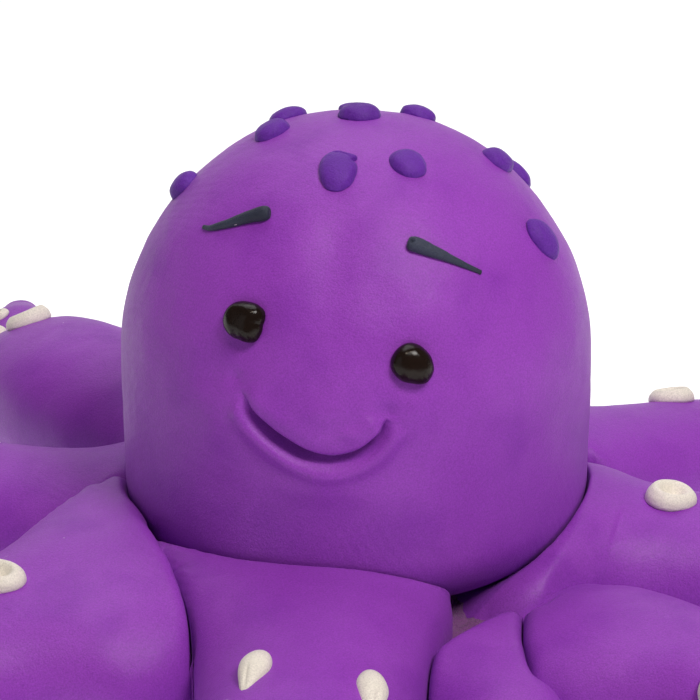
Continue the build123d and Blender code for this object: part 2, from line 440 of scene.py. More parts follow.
def rough_clay():
    return clay_material(
        "Torn pink clay", linear((126, 64, 136)), linear((150, 88, 150)), linear((76, 34, 88)),
        roughness=0.75, ridges=0.0, grain=5.0, lint=2.0, bump=0.0002,
    )


def black_glaze():
    """Shiny black eye clay with dust, fine pits and brown patches that lie at random."""
    material = clay_material(
        "Glossy black", linear((22, 14, 11)), linear((46, 32, 24)), linear((8, 6, 6)),
        roughness=0.17, ridges=0.0, lint=0.8, bump=0.00004, sheen=0.0,
    )
    set_values(material.node_tree.nodes["Principled BSDF"], Specular_IOR_Level=0.22)
    return material


def foam():
    """Expanded foam of the head's core: packed beads with dark joints."""
    material, tree, shader = new_finish("Bead foam")
    beads = add_node(
        tree, "ShaderNodeTexVoronoi", (-700, 0), feature="DISTANCE_TO_EDGE", Scale=520)
    tree.links.new(own_place(tree, (-900, 0)), beads.inputs["Vector"])
    edge = beads.outputs["Distance"]
    colour = add_ramp(
        tree, (-480, 0), edge, (0.0, linear((196, 194, 186))), (0.09, linear((240, 240, 236))))
    tree.links.new(colour, shader.inputs["Base Color"])
    add_relief(tree, shader, (-250, -200), edge, 0.0004)
    set_values(shader, Roughness=0.85)
    return material


def beech():
    """The neck peg: pale wood with its grain along the peg."""
    material, tree, shader = new_finish("Beech peg")
    mapping = add_node(tree, "ShaderNodeMapping", (-900, 0), Scale=(1, 1, 0.06))
    tree.links.new(own_place(tree, (-1100, 0)), mapping.inputs["Vector"])
    grain = noise_at(tree, (-700, 0), mapping.outputs[0], 2600, 4, 0.6, 0.4).outputs["Fac"]
    colour = add_ramp(
        tree, (-480, 0), grain, (0.3, linear((176, 136, 92))), (0.7, linear((222, 190, 146))))
    tree.links.new(colour, shader.inputs["Base Color"])
    add_relief(tree, shader, (-250, -200), grain, 0.00008)
    set_values(shader, Roughness=0.6)
    return material


def drawn_wire():
    """Soft aluminium wire: drawing marks along it and dull handling smudges."""
    material, tree, shader = new_finish("Armature wire")
    place = own_place(tree, (-900, 0))
    scratches = noise_at(tree, (-700, 100), place, 3200, 3, 0.7).outputs["Fac"]
    smudges = noise_at(tree, (-700, -150), place, 240, 2, 0.5).outputs["Fac"]
    colour = add_ramp(
        tree, (-480, 100), smudges, (0.3, linear((150, 150, 153))), (0.7, linear((206, 206, 208))))
    rough = maths(tree, (-480, -150), "MULTIPLY_ADD", smudges, 0.3, 0.22)
    tree.links.new(colour, shader.inputs["Base Color"])
    tree.links.new(rough, shader.inputs["Roughness"])
    add_relief(tree, shader, (-250, -300), scratches, 0.00003)
    set_values(shader, Metallic=1.0)
    return material


def white_paper():
    """The stage's pale table, lit a little from inside so that it stays near white."""
    material, tree, shader = new_finish("White paper")
    fibre = noise_at(tree, (-500, 0), own_place(tree, (-700, 0)), 60, 4, 0.6).outputs["Fac"]
    colour = add_ramp(tree, (-300, 0), fibre, (0.3, 0.86), (0.7, 0.9))
    tree.links.new(colour, shader.inputs["Base Color"])
    tree.links.new(colour, shader.inputs["Emission Color"])
    set_values(shader, Emission_Strength=0.42, Roughness=0.9)
    return material


# ---- the head --------------------------------------------------------------------------
# The upper lip's edge, as (distance round the head from the front, height).
LIP_LINE = [
    (-13.7, 40.3), (-12.8, 39.4), (-11.8, 38.4), (-10.6, 37.5), (-9.2, 36.6),
    (-7.7, 35.8), (-6.2, 35.0), (-4.6, 34.5), (-2.8, 34.3), (-1.0, 34.6),
    (0.5, 35.2), (1.7, 36.1), (2.7, 37.1), (3.3, 38.1),
]
# Along the lip line from its left end: how deep and how wide the groove under it is.
GROOVE_DEPTH = [
    (0.0, 0.0), (0.08, 0.4), (0.18, 1.8), (0.3, 3.0), (0.44, 2.6), (0.56, 1.4),
    (0.72, 1.4), (0.86, 1.7), (1.0, 0.0),
]
GROOVE_WIDTH = [(0.0, 1.2), (0.2, 2.2), (0.4, 2.6), (0.6, 2.5), (0.8, 2.1), (1.0, 1.3)]
# Soft finger dents and swells: (round the head, height, reach round, reach up, depth).
DENTS = [
    (-3.4, 54.0, 5.5, 7.5, 0.55),
    (3.5, 50.5, 5.0, 4.0, 0.3),
    (-17.8, 41.5, 3.4, 5.0, 0.35),
    (-13.4, 46.6, 5.2, 4.6, 0.4),
    (6.5, 44.0, 5.0, 4.4, 0.4),
    (-4.5, 38.6, 7.6, 3.8, -0.7),
    (-16.8, 36.6, 4.0, 4.6, -0.4),
    (-4.4, 29.6, 8.5, 2.6, -0.35),
    (-1.0, 36.6, 1.6, 1.0, -0.3),
    (3.4, 38.8, 1.9, 1.5, 0.5),
    (-14.8, 41.4, 1.8, 1.6, 0.4),
    (6.8, 38.4, 3.4, 4.0, -0.3),
    (21.0, 39.0, 9.0, 9.0, -0.25),
    (-26.0, 44.0, 7.0, 9.0, 0.22),
]


def smooth_line(points, steps=6):
    """A line of points filled in smoothly, so that it passes through each of them."""
    filled = []
    for index in range(len(points) - 1):
        before = points[max(index - 1, 0)]
        start, end = points[index], points[index + 1]
        after = points[min(index + 2, len(points) - 1)]
        for step in range(steps):
            t = step / steps
            filled.append(tuple(
                0.5 * (2 * s + (e - b) * t + (2 * b - 5 * s + 4 * e - a) * t**2
                       + (3 * s - b - 3 * e + a) * t**3)
                for b, s, e, a in zip(before, start, end, after)
            ))
    filled.append(points[-1])
    return filled


LIPS = smooth_line(LIP_LINE)


def from_lip(across, up):
    """Distance to the lip line, the share along it, and the side: positive below the line."""
    best = (1e9, 0.0, 1.0)
    for index in range(len(LIPS) - 1):
        (x1, y1), (x2, y2) = LIPS[index], LIPS[index + 1]
        run, rise = x2 - x1, y2 - y1
        t = clamp(((across - x1) * run + (up - y1) * rise) / (run * run + rise * rise))
        gap_x, gap_y = across - x1 - run * t, up - y1 - rise * t
        distance = gap_x * gap_x + gap_y * gap_y
        if distance < best[0]:
            side = 1.0 if run * gap_y - rise * gap_x < 0 else -1.0
            best = (distance, (index + t) / (len(LIPS) - 1), side)
    return math.sqrt(best[0]), best[1], best[2]


def head_profile(tilt):
    """The head's radius, height and outward slope at a tilt from -90 to 90 degrees."""
    if tilt >= 0:
        turn = math.radians(tilt)
        return HEAD_RADIUS * math.cos(turn), HEAD_CENTRE + HEAD_RADIUS * math.sin(turn), tilt
    side = HEAD_CENTRE - HEAD_BOTTOM - HEAD_CORNER
    arc = HEAD_CORNER * math.pi / 2
    flat = HEAD_RADIUS - HEAD_CORNER
    way = -tilt / 90 * (side + arc + flat)
    if way <= side:
        return HEAD_RADIUS, HEAD_CENTRE - way, 0.0
    if way <= side + arc:
        turn = (way - side) / HEAD_CORNER
        height = HEAD_BOTTOM + HEAD_CORNER * (1 - math.sin(turn))
        return flat + HEAD_CORNER * math.cos(turn), height, -math.degrees(turn)
    return flat - (way - side - arc), HEAD_BOTTOM, -90.0


def head_frame(direction):
    """The unworked head's point and normal for a direction from its centre."""
    tilt = math.degrees(math.asin(clamp(direction.z, -1, 1)))
    level = Vector((direction.x, direction.y, 0))
    level = level.normalized() if level.length > 1e-9 else Vector((0, -1, 0))
    radius, height, slope = head_profile(tilt)
    turn = math.radians(slope)
    normal = level * math.cos(turn) + Vector((0, 0, math.sin(turn)))
    return level * radius + Vector((0, 0, height)), normal


MOUTH_REACH = 6.5
FACE_REACH = 34.0
# Where the clay's unevenness fades out above the arms: the height it starts at, and over how far.
SMOOTH_HEIGHT, SMOOTH_FADE = 22.0, 10.0


def mouth_shape(across, up):
    """How far the clay stands out at the mouth, and how far the upper lip hangs over."""
    distance, share, side = from_lip(across, up)
    if distance > MOUTH_REACH:
        return 0.0, 0.0
    depth = read_table(GROOVE_DEPTH, share)
    width = read_table(GROOVE_WIDTH, share)
    ends = ease(share / 0.12) * ease((1 - share) / 0.1)
    if side > 0:
        floor = -depth * (1 - ease(distance / width) ** 1.3) * ease(distance / 0.22 + 0.3)
        rim = 0.62 * ends * math.exp(-((distance - width - 0.35) / 1.1) ** 2)
        return floor + rim, 0.0
    lip = 0.55 * ends * math.exp(-((distance - 0.9) / 1.3) ** 2)
    edge = -depth * 0.55 * (1 - ease(distance / 0.42))
    hang = 0.7 * ends * clamp(depth) * math.exp(-((distance / 0.8) ** 2))
    return lip + edge, hang


def worked_head(direction):
    """The head's surface with its mouth, dents and unevenness, in millimetres."""
    point, normal = head_frame(direction)
    heading = heading_of(point)
    across = math.radians(heading) * HEAD_RADIUS
    up = point.z
    lift = 0.0
    drop = 0.0
    if abs(across) < FACE_REACH:
        for centre, height, reach, rise, depth in DENTS:
            away = math.hypot((across - centre) / reach, (up - height) / rise)
            if away < 1.6:
                lift -= depth * math.exp(-2.2 * away * away)
        if -22 < across < 10 and 27 < up < 48:
            bulge, drop = mouth_shape(across, up)
            lift += bulge
    rough = ease((up - SMOOTH_HEIGHT) / SMOOTH_FADE)
    lift += rough * (
        0.34 * lumps(point, 15, 1) + 0.14 * lumps(point, 5.5, 2) + 0.045 * lumps(point, 1.9, 3))
    lift += 0.03 * (1 - rough) * lumps(point, 4.0, 4)
    return point + normal * lift - Vector((0, 0, drop))


def near_mouth(vert, reach):
    """Whether a corner of the head's skin lies that close to the lip line."""
    point, _ = head_frame(vert.co.normalized())
    if point.y > 0 or not 27 < point.z < 46:
        return False
    across = math.radians(heading_of(point)) * HEAD_RADIUS
    return -21 < across < 9 and from_lip(across, point.z)[0] < reach


def make_head_skin():
    bm = bmesh.new()
    bmesh.ops.create_icosphere(bm, subdivisions=7, radius=1.0)
    for reach in (4.6, 2.2):
        close = {vert for vert in bm.verts if near_mouth(vert, reach)}
        edges = [edge for edge in bm.edges if edge.verts[0] in close and edge.verts[1] in close]
        bmesh.ops.subdivide_edges(bm, edges=edges, cuts=1, use_grid_fill=True)
        bmesh.ops.triangulate(bm, faces=[face for face in bm.faces if len(face.verts) > 3])
    for vert in bm.verts:
        vert.co = worked_head(vert.co.normalized())
    return place_mesh("head_skin", bm, purple_clay())


# ---- what is stuck on the head ---------------------------------------------------------
def dome_frame(heading, rise, lift=0.0):
    """A matrix on the worked dome: x round the head, y up the dome, z straight out."""
    turn = math.radians(rise)
    out = outward(heading) * math.cos(turn) + Vector((0, 0, math.sin(turn)))
    place = worked_head(out) + out * lift
    across = Vector((0, 0, 1)).cross(out)
    across = across.normalized() if across.length > 1e-6 else Vector((1, 0, 0))
    up = out.cross(across)
    return Matrix.Translation(place) @ Matrix((across, up, out)).transposed().to_4x4()


def dome_angles(node):
    """The heading and rise of a small CAD node stuck on the dome."""
    low, high = node_box(node)
    middle = (low + high) / 2 - Vector((0, 0, HEAD_CENTRE))
    return heading_of(middle), math.degrees(math.asin(clamp(middle.z / middle.length, -1, 1)))


# Across, up the dome, height, turn: the dots are pinched and pressed by hand.
DOT_SHAPES = [
    (2.45, 2.0, 1.35, 40), (2.45, 2.1, 1.35, -15), (2.5, 2.1, 1.3, 10), (2.5, 2.3, 1.45, 0),
    (2.2, 3.15, 1.35, 10), (2.1, 2.3, 1.25, 0), (2.4, 2.1, 1.3, -20), (2.6, 2.0, 1.3, -35),
    (2.5, 2.1, 1.2, 25), (2.0, 2.8, 1.35, 14), (2.3, 2.2, 1.3, 0), (2.5, 2.1, 1.25, 30),
    (2.2, 2.4, 1.3, -10), (2.2, 1.9, 0.85, 0), (2.4, 2.0, 1.25, 20), (2.2, 2.5, 1.3, -25),
]
CURLED_DOT = 5


def make_dot(number):
    """A ball of clay pressed onto the dome, with a slightly rolled-under edge."""
    across, up, height, turn = DOT_SHAPES[number - 1]
    heading, rise = dome_angles(f"dot_{number:02d}")
    bm = bmesh.new()
    bmesh.ops.create_icosphere(bm, subdivisions=5, radius=1.0)
    place = dome_frame(heading, rise) @ Matrix.Rotation(math.radians(turn), 4, "Z")
    for vert in bm.verts:
        direction = vert.co.normalized()
        out = direction.z
        level = math.hypot(direction.x, direction.y)
        x = direction.x * across
        y = direction.y * up
        if out > 0:
            z = height * (1 - (1 - out) ** 1.25)
        else:
            z = out * 0.9
            x *= 1 + 0.16 * out
            y *= 1 + 0.16 * out
        swell = 1 + 0.07 * lumps(direction, 0.8, number) + 0.03 * lumps(direction, 0.3, number + 30)
        point = Vector((x * swell, y * swell, z * (1 + 0.06 * lumps(direction, 0.7, number + 9))))
        if number == CURLED_DOT:
            away = math.hypot(point.x - 1.5, point.y - 2.0)
            point.x += 0.6 * hump(away, 0.9) * level
            notch = math.hypot((point.x - 2.1) / 0.5, (point.y - 1.1) / 0.45)
            point.x -= 0.45 * hump(notch, 1.2) * level
            seam = abs(math.hypot(point.x + 0.1, point.y - 0.6) - 1.7)
            if point.y > 0.6 and point.x > -0.4:
                point.z -= 0.26 * hump(seam, 0.3) * ease(out * 2)
        point.z -= (point.x**2 + point.y**2) / (2 * HEAD_RADIUS)
        vert.co = place @ point
    piece = place_mesh(f"dot_skin_{number:02d}", bm, dot_clay())
    show_as(piece, "head", "clay_dark_purple", f"dot_{number:02d}")


# Each eye's outline as (turn from its right-hand side, radius).
EYE_OUTLINES = {
    "eye_left": [
        (0, 2.4), (35, 2.75), (55, 2.55), (90, 2.3), (135, 2.42), (180, 2.5), (225, 2.3),
        (270, 2.15), (312, 2.72), (335, 2.6), (360, 2.4),
    ],
    "eye_right": [
        (0, 2.5), (45, 2.3), (90, 2.4), (135, 2.3), (180, 2.3), (225, 2.15), (270, 2.2),
        (305, 2.75), (335, 2.75), (360, 2.5),
    ],
}


def make_eye(name):
    """A glossy ball, pressed unevenly into the face so that it shows corners."""
    heading, rise = dome_angles(name)
    bm = bmesh.new()
    bmesh.ops.create_icosphere(bm, subdivisions=6, radius=1.0)
    place = dome_frame(heading, rise, 0.25)
    for vert in bm.verts:
        direction = vert.co.normalized()
        turn = math.degrees(math.atan2(direction.y, direction.x)) % 360
        level = math.hypot(direction.x, direction.y)
        radius = read_table(EYE_OUTLINES[name], turn)
        if direction.z > 0:
            level = level ** 0.9
            z = 1.75 * direction.z ** 0.9
        else:
            z = 1.3 * direction.z
        radius *= 1 + 0.02 * lumps(direction, 0.5, 41)
        angle = math.radians(turn)
        point = Vector((math.cos(angle) * level * radius, math.sin(angle) * level * radius, z))
        point.z += 0.12 * lumps(direction, 0.7, 47) * ease(direction.z * 2)
        vert.co = place @ point
    piece = place_mesh(f"{name}_skin", bm, black_glaze())
    show_as(piece, "head", "clay_black", name)


# The middle of each brow as headings and rises, from its thick end to its thin end.
BROW_LINES = {
    "brow_left": [
        (-33.2, 50.8), (-38.3, 49.5), (-43.6, 47.3), (-49.2, 44.7), (-53.8, 42.8), (-57.2, 42.3),
    ],
    "brow_right": [
        (16.3, 44.8), (20.4, 43.3), (24.7, 41.4), (29.0, 39.3), (33.2, 37.1), (37.3, 34.8),
    ],
}
# The share of a brow's length that each rounded end takes up.
BROW_THICK_CAP, BROW_THIN_CAP = 0.13, 0.05
BROW_THICKNESS = [(0.0, 0.84), (0.14, 0.9), (0.35, 0.74), (0.6, 0.5), (0.85, 0.3), (1.0, 0.26)]


def make_brow(name):
    """A rolled teardrop of slate clay laid along the dome."""
    rings, around = 64, 28
    line = smooth_line(BROW_LINES[name], 12)
    bm = bmesh.new()
    bmesh.ops.create_uvsphere(bm, u_segments=around, v_segments=rings, radius=1.0)
    for vert in bm.verts:
        share = math.asin(clamp(vert.co.z, -1, 1)) / math.pi + 0.5
        place = clamp(share * 1.06 - 0.03) * (len(line) - 1)
        index = min(int(place), len(line) - 2)
        heading, rise = (mix(a, b, place - index) for a, b in zip(line[index], line[index + 1]))
        ahead = (mix(a, b, 1.0) for a, b in zip(line[index], line[index + 1]))
        base = dome_frame(heading, rise)
        forward = (dome_frame(*ahead).translation - dome_frame(*line[index]).translation).normalized()
        out = (base @ Vector((0, 0, 1)) - base.translation).normalized()
        side = out.cross(forward).normalized()
        thick = read_table(BROW_THICKNESS, share)
        end = min(share, 1 - share)
        cap_share = BROW_THICK_CAP if share < 0.5 else BROW_THIN_CAP
        cap = math.sqrt(clamp(1 - (1 - clamp(end / cap_share)) ** 2))
        turn = math.atan2(vert.co.y, vert.co.x)
        wide = thick * cap * (1 + 0.08 * lumps((share * 9, turn, 0), 1.0, 12))
        high = wide * 0.82
        reach = side * (math.cos(turn) * wide) + out * (math.sin(turn) * high + 0.42 * thick)
        point = base.translation + reach
        if name == "brow_right":
            if share < 0.16 and math.sin(turn) > 0.3:
                dip = hump(abs(share - 0.085) * 12, 0.55) * hump(math.cos(turn), 0.45)
                point -= out * 0.55 * dip
        vert.co = point
    piece = place_mesh(f"{name}_skin", bm, slate_clay())
    show_as(piece, "head", "clay_slate", name)


# ---- the arms --------------------------------------------------------------------------
# Seams between neighbouring arms under the head, as (distance from the axis, heading).
SEAMS = {
    "front|front_left": [
        (18, -68), (26, -64), (28.4, -60), (30.3, -49), (33.3, -39), (37.5, -30.5), (44, -24),
    ],
    "front_left|left": [(18, -94), (28.5, -93), (31, -89), (36, -81), (42, -77)],
    "left|back_left": [(18, -124), (44, -124)],
    "back_left|back_right": [(18, -188), (44, -188)],
    "right|back_right": [(18, 112), (28, 113), (36, 107), (44, 104)],
    "right|front_right": [(18, 62), (31, 60), (36, 61), (44, 64)],
    "front_right|tucked": [(18, 52), (26, 46), (31, 38), (37, 30.5), (45, 26.0), (52, 24)],
    "tucked|front": [(18, 30), (25, 25.5), (28, 23.5), (33, 17.5), (38, 12.5), (44, 10.0)],
}


class ArmSkin:
    """How one arm's skin lies: its root is pressed by hand, its free part follows the frame."""

    def __init__(
        self, name, turn, length, lift, half_width, half_height, left, right, top,
        low_seam, high_seam,
    ):
        joint = JOINTS[f"bend_{name}"]
        self.name = name
        self.knuckle = Vector(joint["pos_m"]) / MM
        self.heading = heading_of(self.knuckle)
        self.reach = math.hypot(self.knuckle.x, self.knuckle.y)
        self.turn, self.length, self.lift = turn, length, lift
        self.half_width, self.half_height = half_width, half_height
        self.left, self.right, self.top = left, right, top
        self.low_seam, self.high_seam = low_seam, high_seam


TIP_SHARE = 0.28
TAPER = 1.9
# How square the pressed shoulders are beside the head, on the low-heading and high-heading side.
SQUARE_SHOULDERS = {
    "front": (3.4, 2.2), "front_left": (3.0, 3.0), "left": (2.6, 2.4),
    "tucked": (3.4, 3.2), "front_right": (2.8, 2.2),
}
CURL_START = 0.55
ROOT_START = 11.6
ARMS = [
    # name, turn, length, lift, half width and height at the knuckle; how far it spreads to
    # its low-heading and high-heading side, and its top, by distance from the axis; seams
    ArmSkin("front", -34, 60, 9, 12.0, 9.8,
            [(12, 40), (16, 36), (22, 28), (28, 21.5), (34, 17), (42, 13), (54, 10.8)],
            [(12, 14), (20, 15), (28, 14.6), (36, 13), (44, 11.4), (54, 10.4)],
            [(12, 20.4), (28, 20.2), (36, 19.4), (46, 18.4), (56, 17.2)],
            "front|front_left", "tucked|front"),
    ArmSkin("front_left", -34, 64, 7, 13.0, 9.8,
            [(12, 34), (20, 32), (28, 26), (36, 19), (44, 15), (54, 12.2)],
            [(12, 24), (20, 22), (28, 19), (34, 18.5), (40, 19.5), (46, 18), (56, 13.0)],
            [(12, 20.4), (28, 20.4), (36, 20.0), (46, 19.0), (56, 17.8)],
            "front_left|left", "front|front_left"),
    ArmSkin("left", -30, 62, 10, 10.5, 9.4,
            [(12, 18), (20, 17), (28, 14), (36, 11.4), (46, 10.3), (54, 9.8)],
            [(12, 16), (20, 16), (28, 14), (36, 12), (46, 10.6), (54, 9.8)],
            [(12, 20.0), (28, 18.8), (36, 17.3), (46, 16.9), (56, 16.4)],
            "left|back_left", "front_left|left"),
    ArmSkin("back_left", -36, 72, 0.5, 10.6, 9.8,
            [(12, 20), (24, 17), (36, 12), (48, 10.6), (60, 10.2), (74, 8.8), (88, 6.4), (100, 4.0)],
            [(12, 14), (24, 13), (36, 12), (48, 13.2), (60, 13.8), (72, 12.2), (86, 8.2), (100, 4.4)],
            [(12, 19.6), (28, 19.4), (36, 19.2), (50, 19.2), (62, 18.8), (74, 15.8), (88, 9.0),
             (100, 5.6)],
            "back_left|back_right", "left|back_left"),
    ArmSkin("back_right", -45, 64, 9, 10.5, 9.2,
            [(12, 14), (24, 13), (36, 11), (48, 10.2), (58, 9.6)],
            [(12, 22), (24, 18), (36, 12), (48, 10.4), (58, 9.6)],
            [(12, 19.6), (28, 19.0), (36, 17.6), (48, 15.4), (60, 13.6), (72, 12.0)],
            "right|back_right", "back_left|back_right"),
    ArmSkin("right", -36, 64, 8, 11.0, 9.3,
            [(8, 31.0), (12, 29.8), (16, 27.8), (20, 25.0), (24, 20.8), (28, 15.8), (32, 12.6),
             (38, 11.0), (46, 10.6), (56, 9.8)],
            [(8, 15), (20, 15), (28, 14), (36, 11.5), (46, 10.6), (56, 9.8)],
            [(8, 20.4), (28, 20.0), (36, 18.2), (46, 17.4), (56, 16.4)],
            None, "right|back_right"),
    ArmSkin("front_right", -26, 62, 7, 9.0, 9.0,
            [(12, 16), (24, 16), (32, 16), (40, 16), (48, 13.4), (58, 9.4)],
            [(12, 12), (24, 12), (32, 12), (40, 12.4), (48, 12.2), (58, 10.2)],
            [(12, 11.5), (24, 12.0), (29, 12.8), (33, 14.0), (38, 15.4), (46, 16.3), (58, 14.8)],
            "front_right|tucked", None),
    ArmSkin("tucked", -16, 54, 6, 5.2, 6.6,
            [(12, 16), (22, 15), (30, 13), (38, 9.8), (48, 7.0), (58, 5.0)],
            [(12, 16), (22, 15), (30, 13.5), (38, 10.0), (46, 6.6), (58, 5.0)],
            [(12, 11.0), (24, 12.4), (28, 13.6), (33, 14.4), (38, 14.2), (48, 12.8), (58, 10.4)],
            "tucked|front", "front_right|tucked"),
]
# The right arm's strip by heading: how high its top lies, and how far out its edge.
STRIP_TOP = [(8, 5.0), (24, 6.0), (30, 8.6), (36, 12.4), (42, 14.6), (48, 16.0), (62, 18.4), (76, 20.2)]
STRIP_EDGE = [(8, 23.5), (24, 24.5), (31, 27.0), (38, 30.4), (48, 31.9), (60, 33.0)]
# The torn hollow between the front arm and the tucked one: the tucked arm stops at this line.
HOLLOW_START = Vector((11.3, -32.0, 0))
HOLLOW_INWARD = Vector((-0.745, 0.666, 0))
HOLLOW_FLOOR = 8.0
# How wide the rounded edge beside a seam is, and how thick the strip's is.
SEAM_EDGE = 1.5
SEAM_GAP = 0.1
STRIP_ROUND = 2.6
# Beyond this distance from the axis the arms are free, and nothing presses on them.
FREE_FROM, FREE_FADE = 47.0, 6.0
# Rings of an arm's skin spent on closing it inside the hub, and on its round tip.
HUB_RINGS, TIP_RINGS = 4, 8
SMOOTH_ROUNDS = 5


def size_at(share):
    return 1 - (1 - TIP_SHARE) * clamp(share) ** TAPER


def arm_frame(arm, along):
    """The middle line's place on the table and its heading, at a distance from the axis."""
    if along <= arm.reach:
        return outward(arm.heading) * along, arm.heading
    steps = 40
    share = (along - arm.reach) / arm.length
    place = outward(arm.heading) * arm.reach
    for step in range(steps):
        done = share * (step + 0.5) / steps
        place += outward(arm.heading + arm.turn * done**1.5) * (arm.length * share / steps)
    return place, arm.heading + arm.turn * share**1.5


def arm_size(arm, along):
    """How far the arm spreads to each side, its top, and its middle and underside heights."""
    share = max(0.0, (along - arm.reach) / arm.length)
    size = size_at(share)
    last = arm.top[-1][0]
    settle = ease((along - (last - 12)) / 12)
    left = mix(read_table(arm.left, along), arm.half_width * size, settle)
    right = mix(read_table(arm.right, along), arm.half_width * size, settle)
    curl = max(0.0, (share - CURL_START) / (1 - CURL_START))
    rise = arm.lift * curl**2
    top = mix(read_table(arm.top, along), 2 * arm.half_height * size - 0.4 + rise, settle)
    return left, right, top, rise


def seam_turn(seam, radius):
    """A seam's heading, and its slant, at a distance from the axis."""
    rows = SEAMS[seam]
    here = read_table(rows, radius)
    ahead = read_table(rows, radius + 0.5)
    slant = radius * math.radians(ahead - here) / 0.5
    return here, 1 / math.sqrt(1 + slant * slant)


def press_seam(point, seam, inside, edge, fade):
    """Flattens a point against a seam and rounds the top edge beside it."""
    radius = math.hypot(point.x, point.y)
    if radius < 1:
        return point
    seam_heading, square = seam_turn(seam, radius)
    past = turn_between(heading_of(point), seam_heading) * inside
    gap = math.radians(past) * radius * square - SEAM_GAP
    if gap < 0:
        heading = seam_heading + inside * math.degrees(SEAM_GAP / (radius * square))
        place = outward(heading) * radius
        point = Vector((mix(point.x, place.x, fade), mix(point.y, place.y, fade), point.z))
        gap = 0.0
    if gap < edge:
        share = 1 - gap / edge
        drop = 0.9 * edge * (1 - math.sqrt(max(0.0, 1 - share * share)))
        point.z -= fade * drop * ease((point.z - 4) / 8)
    return point


def head_ceiling(radius):
    """The height under the head, with its gap, at a distance from the axis."""
    flat = HEAD_RADIUS - HEAD_CORNER
    if radius <= flat:
        return HEAD_BOTTOM - HEAD_GAP
    corner = HEAD_CORNER + HEAD_GAP
    return HEAD_BOTTOM + HEAD_CORNER - math.sqrt(max(0.0, corner**2 - (radius - flat) ** 2))


def press_head(point):
    """Moulds a point to the underside of the head, sliding it outwards along the round edge."""
    radius = math.hypot(point.x, point.y)
    corner = HEAD_CORNER + HEAD_GAP
    flat = HEAD_RADIUS - HEAD_CORNER
    if not 1 < radius < flat + corner or point.z < HEAD_BOTTOM - HEAD_GAP:
        return point
    if radius > flat:
        share = (radius - flat) / corner
        slid = flat + corner * math.sin(share * math.pi / 2)
        moved = mix(radius, slid, ease((point.z - head_ceiling(radius)) / 2))
        point = Vector((point.x * moved / radius, point.y * moved / radius, point.z))
        radius = moved
    point.z = min(point.z, head_ceiling(radius))
    return point


def press_strip(point, above):
    """The right arm's root wraps round the front in a thin strip; others are pressed under it."""
    heading = heading_of(point)
    if not -10 < heading < 80:
        return point
    radius = math.hypot(point.x, point.y)
    top = read_table(STRIP_TOP, clamp(heading, 8, 76))
    edge = read_table(STRIP_EDGE, clamp(heading, 8, 60))
    if above:
        fade = ease((76 - heading) / 16)
        inward = radius - (edge - STRIP_ROUND)
        trim = ease((64 - heading) / 10)
        if radius > edge and trim > 0:
            pull = mix(1.0, edge / radius, trim)
            point = Vector((point.x * pull, point.y * pull, point.z))
        if radius < 36 and inward > 0:
            top -= STRIP_ROUND * (1 - math.sqrt(max(0.0, 1 - clamp(inward / STRIP_ROUND) ** 2)))
        if point.z > top:
            point.z = mix(point.z, top, fade * ease((37 - radius) / 4))
        return point
    under = top - 2.2 + 1.6 * ease((radius - edge) / 3.0)
    if radius < edge + 3 and point.z > under:
        point.z = mix(under, point.z, ease((radius - edge - 0.5) / 2.5))
    return point


def press_hollow(point):
    """Cuts the tucked arm back from the torn hollow, with a rounded edge."""
    past = (HOLLOW_START - point).dot(HOLLOW_INWARD)
    if past < 2.4 and point.length < 40:
        share = clamp(1 - (past + 0.2) / 2.6)
        limit = HOLLOW_FLOOR + 7 * math.sqrt(1 - share * share)
        point.z = min(point.z, limit)
    return point


def arm_skin_point(arm, along, turn, shrink, seed):
    """The skin's point at a distance along the arm and a turn round its section."""
    place, heading = arm_frame(arm, along)
    left, right, top, rise = arm_size(arm, along)
    side, up = math.cos(turn), math.sin(turn)
    middle = rise + 0.48 * (top - rise)
    wide = (right if side > 0 else left) * shrink
    tall = (top - middle if up > 0 else middle - rise + 0.35) * shrink
    square = SQUARE_SHOULDERS.get(arm.name, (2.4, 2.4))[0 if side < 0 else 1]
    power = mix(square, 2.15, ease((along - 20) / 24)) if up > 0 else 2.7
    ray = (abs(side) ** power + abs(up) ** power) ** (-1 / power)
    lateral = wide * ray * side
    height = middle + tall * ray * up
    base = place + sideways(heading) * lateral
    point = Vector((base.x, base.y, height))
    swell = 0.22 * lumps(point, 12, seed) + 0.1 * lumps(point, 4.5, seed + 1)
    swell += 0.035 * lumps(point, 1.8, seed + 2)
    swell *= shrink
    point += (sideways(heading) * side + Vector((0, 0, up))) * swell
    radius = math.hypot(point.x, point.y)
    fade = ease((FREE_FROM - radius) / FREE_FADE)
    if fade > 0:
        if arm.low_seam:
            point = press_seam(point, arm.low_seam, 1, SEAM_EDGE, fade)
        if arm.high_seam:
            point = press_seam(point, arm.high_seam, -1, SEAM_EDGE, fade)
        if arm.name == "right":
            point = press_strip(point, True)
        elif arm.name in ("front_right", "tucked"):
            point = press_strip(point, False)
            if arm.name == "tucked":
                point = press_hollow(point)
        point = press_head(point)
    point.z = max(point.z, 0.0)
    return point


def ring_places(arm, rings):
    """Distances along the arm for each ring: closer together beside the head."""
    end = arm.reach + arm.length
    marks = [
        (0.0, ROOT_START), (0.1, 22.0), (0.42, 36.0), (0.66, 58.0), (0.93, end - 2.0), (1.0, end),
    ]
    places = []
    for ring in range(rings + 1):
        share = ring / rings
        for (low, start), (high, stop) in zip(marks, marks[1:]):
            if share <= high:
                places.append(mix(start, stop, (share - low) / (high - low)))
                break
    return places


